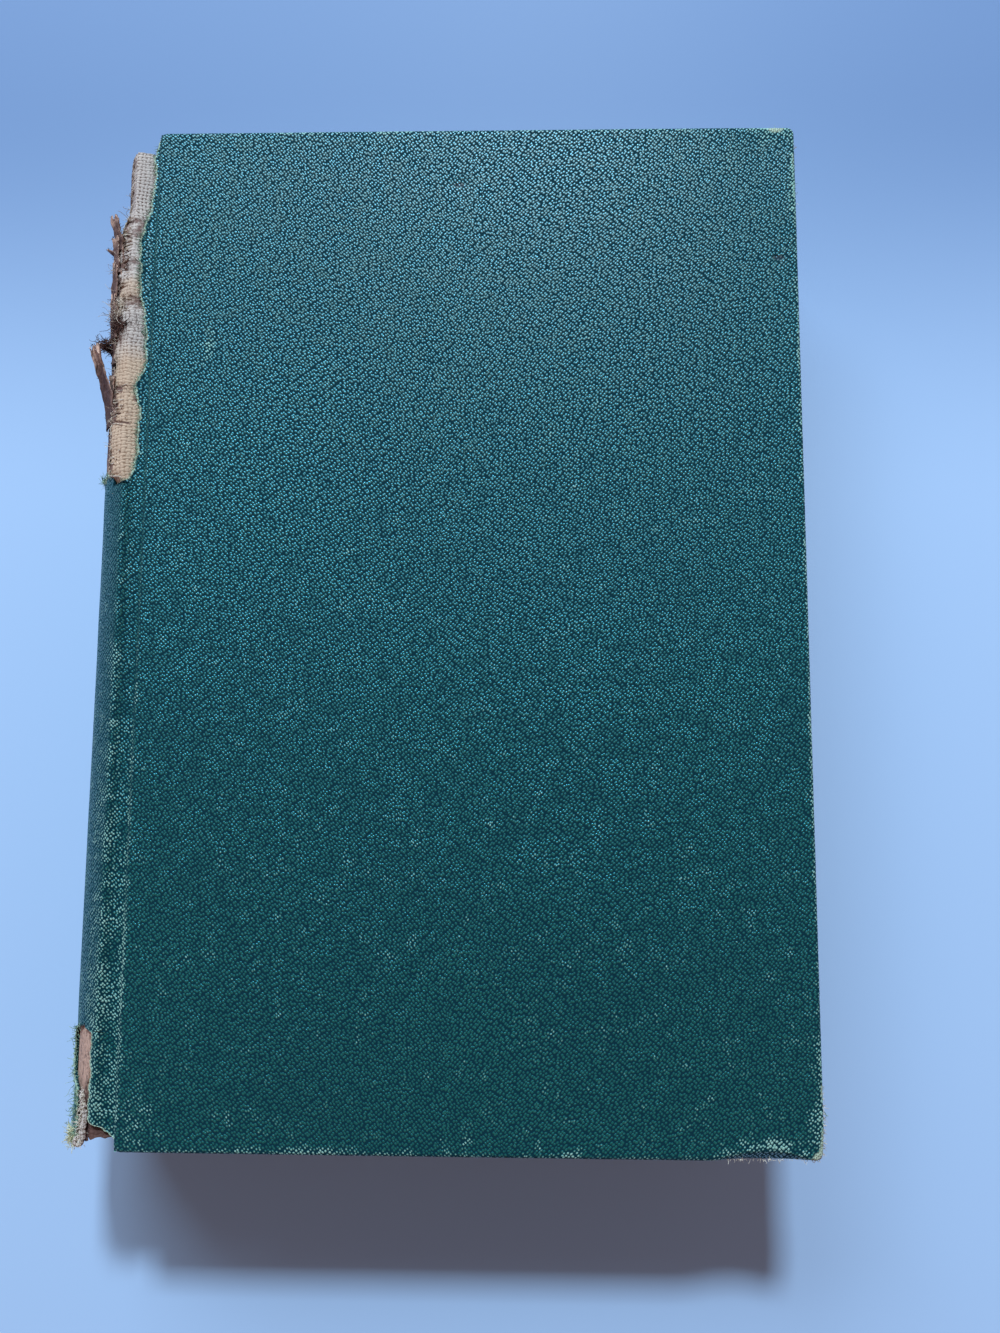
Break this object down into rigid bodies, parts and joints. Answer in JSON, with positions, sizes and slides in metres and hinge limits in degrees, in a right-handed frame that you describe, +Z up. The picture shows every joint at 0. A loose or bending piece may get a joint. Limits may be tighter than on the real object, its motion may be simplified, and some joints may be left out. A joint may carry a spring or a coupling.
{
  "type": "hardback book",
  "caption": "Worn cloth-bound hardback book lying closed, with both covers hinged, a rounded and backed text block, and the spine cloth torn away at the head over mull and brown paper.",
  "frame": {"origin": "middle of the closed book's footprint, on the surface that it lies on", "axes": "+X from the spine to the fore-edge, +Y from the tail to the head, +Z up through the front cover"},
  "size_m": [0.1588, 0.2224, 0.038],
  "materials": {
    "page_edges": "aged uncoated paper, leaf edges",
    "mull_cloth": "open plain-woven cotton, glue-stained",
    "kraft_paper": "matt brown paper",
    "kraft_card": "matt brown card, torn",
    "book_cloth": "pebble-grained coated cloth, semi-gloss",
    "greyboard": "matt grey-brown board",
    "endpaper": "aged smooth paper"
  },
  "bodies": {
    "block": {"text_block": "page_edges", "mull": "mull_cloth", "spine_lining": "kraft_paper", "spine_strip": "kraft_card", "spine_cloth": "book_cloth", "front_flyleaf": "endpaper", "back_flyleaf": "endpaper"},
    "front_cover": {"front_board": "greyboard", "front_cloth": "book_cloth", "front_pastedown": "endpaper"},
    "back_cover": {"back_board": "greyboard", "back_cloth": "book_cloth", "back_pastedown": "endpaper"}
  },
  "joints": [
    {"name": "front_hinge", "type": "hinge", "parent": "block", "child": "front_cover", "pos_m": [-0.06967, 0, 0.03655], "axis": [0, -1, 0], "range_deg": [0, 180]},
    {"name": "back_hinge", "type": "hinge", "parent": "block", "child": "back_cover", "pos_m": [-0.06967, 0, 0.00145], "axis": [0, 1, 0], "range_deg": [0, 180]}
  ]
}
